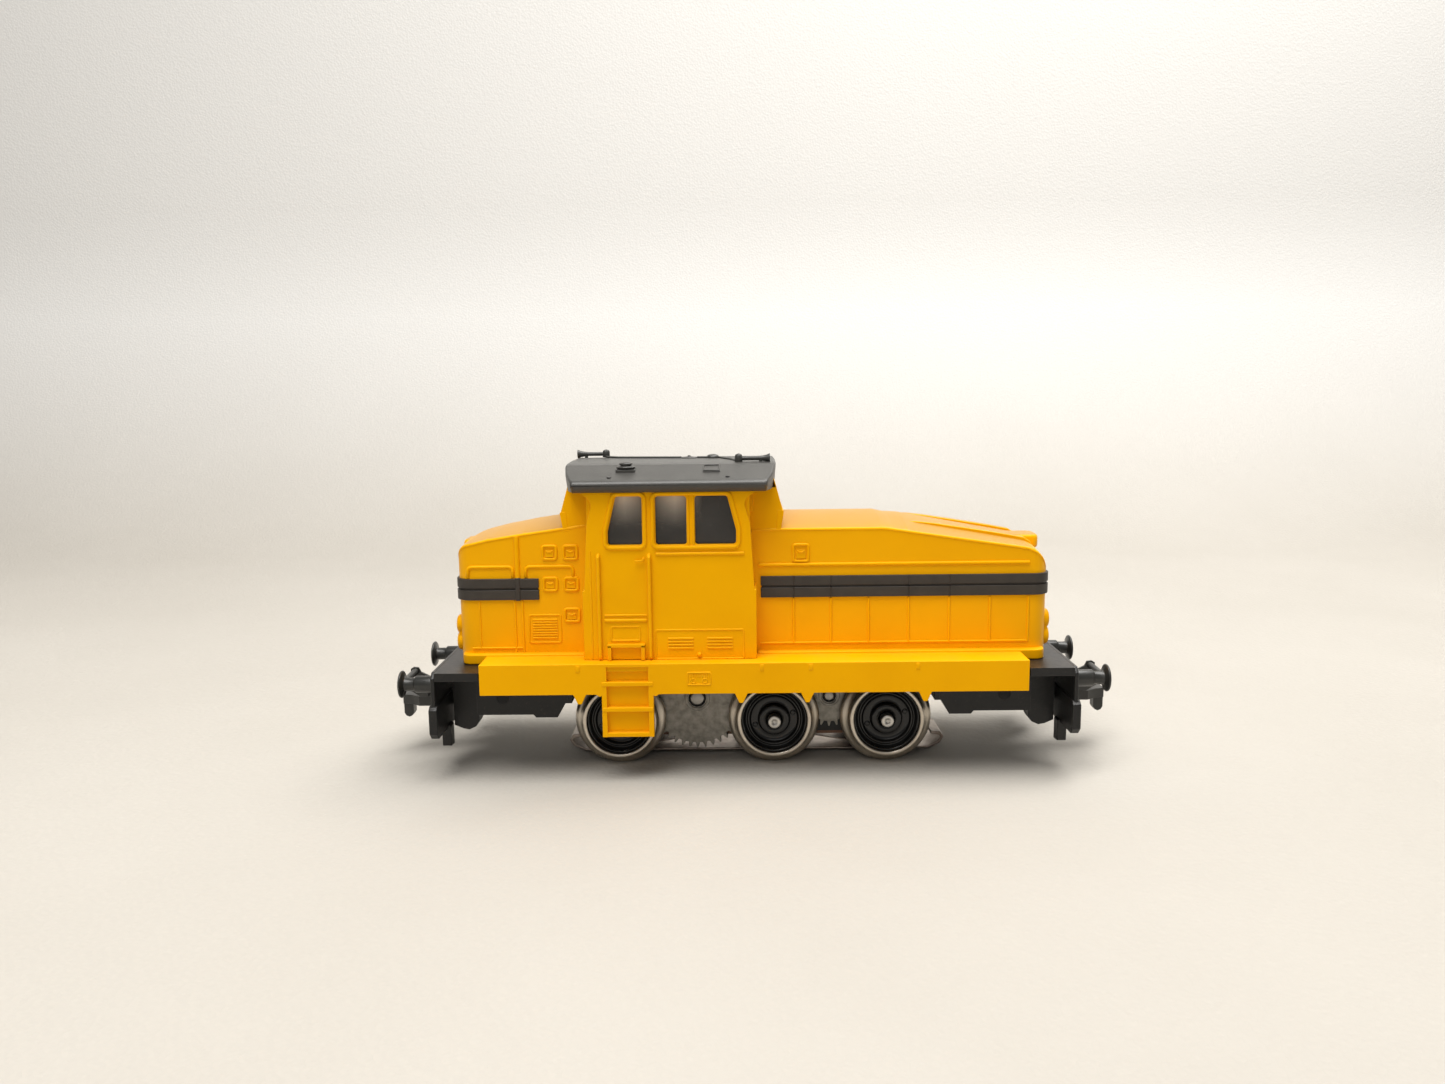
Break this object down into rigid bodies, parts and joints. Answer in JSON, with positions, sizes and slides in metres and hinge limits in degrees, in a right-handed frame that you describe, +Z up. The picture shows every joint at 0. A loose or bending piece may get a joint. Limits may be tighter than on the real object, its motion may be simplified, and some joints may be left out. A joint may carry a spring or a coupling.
{
  "type": "model diesel locomotive",
  "caption": "H0 scale three-axle diesel shunting locomotive with centre cab, two bonnets, geared motor, sliding current shoe and loop couplers.",
  "frame": {"origin": "on the table under the middle of the locomotive, between the outer buffers and between the sides", "axes": "+X along the locomotive towards the long bonnet, +Y across it to the side away from the gears, +Z up"},
  "size_m": [0.1178, 0.034, 0.0502],
  "materials": {
    "chassis_black": "satin black paint on zinc casting",
    "bare_metal": "sintered grey metal",
    "nickel_silver": "turned nickel silver",
    "steel": "turned steel",
    "wheel_black": "moulded black",
    "coupler_grey": "blackened metal",
    "body_yellow": "moulded signal yellow",
    "roof_grey": "anthracite, satin",
    "smoked_pane": "smoked clear moulding",
    "lens_clear": "clear moulding",
    "laminated_iron": "stacked iron sheet",
    "enamelled_wire": "enamelled copper winding",
    "fibre_board": "pressed fibre board",
    "copper": "copper",
    "brass": "brass",
    "carbon": "pressed carbon"
  },
  "bodies": {
    "chassis": {"chassis_frame": "chassis_black", "end_beam_front": "chassis_black", "end_beam_rear": "chassis_black", "buffer_front_left": "coupler_grey", "buffer_front_right": "coupler_grey", "horn_front": "roof_grey", "buffer_rear_left": "coupler_grey", "buffer_rear_right": "coupler_grey", "horn_rear": "roof_grey", "drive_gear_pin": "steel", "idler_gear_pin": "steel", "coupler_pins": "steel", "slider_spring": "steel", "bulb_caps": "brass", "walkway_left": "body_yellow", "walkway_right": "body_yellow", "body_shell": "body_yellow", "cab_roof": "roof_grey", "side_window_glazing": "smoked_pane", "end_window_glazing": "smoked_pane", "headlamp_lenses": "lens_clear", "bulb_glasses": "lens_clear", "field_magnet": "laminated_iron", "reverser_frame": "laminated_iron", "field_coil": "enamelled_wire", "reverser_coil": "enamelled_wire", "motor_shield": "fibre_board", "contact_plate": "fibre_board", "bulb_holders": "fibre_board", "slider_insulator": "fibre_board", "copper_brush": "copper", "carbon_brush": "carbon"},
    "wheelset_1": {"axle_1": "steel", "wheel_centres_1": "wheel_black", "tyre_1_left": "nickel_silver", "tyre_1_right": "nickel_silver", "axle_gear_1": "bare_metal"},
    "wheelset_2": {"axle_2": "steel", "wheel_centres_2": "wheel_black", "tyre_2_left": "nickel_silver", "tyre_2_right": "nickel_silver", "axle_gear_2": "bare_metal"},
    "wheelset_3": {"axle_3": "steel", "wheel_centres_3": "wheel_black", "tyre_3_left": "nickel_silver", "tyre_3_right": "nickel_silver", "axle_gear_3": "bare_metal"},
    "drive_gear_body": {"drive_gear": "bare_metal"},
    "idler_gear_body": {"idler_gear": "bare_metal"},
    "rotor": {"armature": "laminated_iron", "motor_shaft": "steel", "commutator": "copper", "motor_pinion": "brass"},
    "coupler_front_body": {"coupler_front": "coupler_grey"},
    "coupler_rear_body": {"coupler_rear": "coupler_grey"},
    "loop_front_body": {"coupler_loop_front": "coupler_grey"},
    "loop_rear_body": {"coupler_loop_rear": "coupler_grey"},
    "slider": {"slider_shoe": "nickel_silver"}
  },
  "joints": [
    {"name": "wheelset_1_spin", "type": "hinge", "parent": "chassis", "child": "wheelset_1", "pos_m": [-0.0215, 0, 0.0074], "axis": [0, 1, 0], "continuous": true},
    {"name": "wheelset_2_spin", "type": "hinge", "parent": "chassis", "child": "wheelset_2", "pos_m": [0.0034, 0, 0.0074], "axis": [0, 1, 0], "continuous": true},
    {"name": "wheelset_3_spin", "type": "hinge", "parent": "chassis", "child": "wheelset_3", "pos_m": [0.0215, 0, 0.0074], "axis": [0, 1, 0], "continuous": true},
    {"name": "drive_gear_spin", "type": "hinge", "parent": "chassis", "child": "drive_gear_body", "pos_m": [-0.00905, -0.00605, 0.01037], "axis": [0, 1, 0], "continuous": true},
    {"name": "idler_gear_spin", "type": "hinge", "parent": "chassis", "child": "idler_gear_body", "pos_m": [0.01245, -0.00605, 0.0106], "axis": [0, 1, 0], "continuous": true},
    {"name": "rotor_spin", "type": "hinge", "parent": "chassis", "child": "rotor", "pos_m": [-0.00455, 0, 0.0193], "axis": [0, 1, 0], "continuous": true},
    {"name": "coupler_front_swing", "type": "hinge", "parent": "chassis", "child": "coupler_front_body", "pos_m": [0.046, 0, 0.0091], "axis": [0, 0, 1], "range_deg": [-12, 12]},
    {"name": "coupler_rear_swing", "type": "hinge", "parent": "chassis", "child": "coupler_rear_body", "pos_m": [-0.046, 0, 0.0091], "axis": [0, 0, 1], "range_deg": [-12, 12]},
    {"name": "loop_front_lift", "type": "hinge", "parent": "coupler_front_body", "child": "loop_front_body", "pos_m": [0.0546, 0, 0.0106], "axis": [0, -1, 0], "range_deg": [0, 25]},
    {"name": "loop_rear_lift", "type": "hinge", "parent": "coupler_rear_body", "child": "loop_rear_body", "pos_m": [-0.0546, 0, 0.0106], "axis": [0, 1, 0], "range_deg": [0, 25]},
    {"name": "slider_travel", "type": "slide", "parent": "chassis", "child": "slider", "axis": [0, 0, 1], "range_m": [0, 0.001], "stiffness_N_per_m": 40, "springref_m": -0.0015, "deforming": ["slider_spring"]}
  ],
  "couplings": [
    {"joint": "wheelset_1_spin", "follows": "wheelset_2_spin", "ratio": 1},
    {"joint": "wheelset_3_spin", "follows": "wheelset_2_spin", "ratio": 1},
    {"joint": "drive_gear_spin", "follows": "wheelset_2_spin", "ratio": -0.6},
    {"joint": "idler_gear_spin", "follows": "wheelset_2_spin", "ratio": -1},
    {"joint": "rotor_spin", "follows": "wheelset_2_spin", "ratio": 2.4}
  ]
}
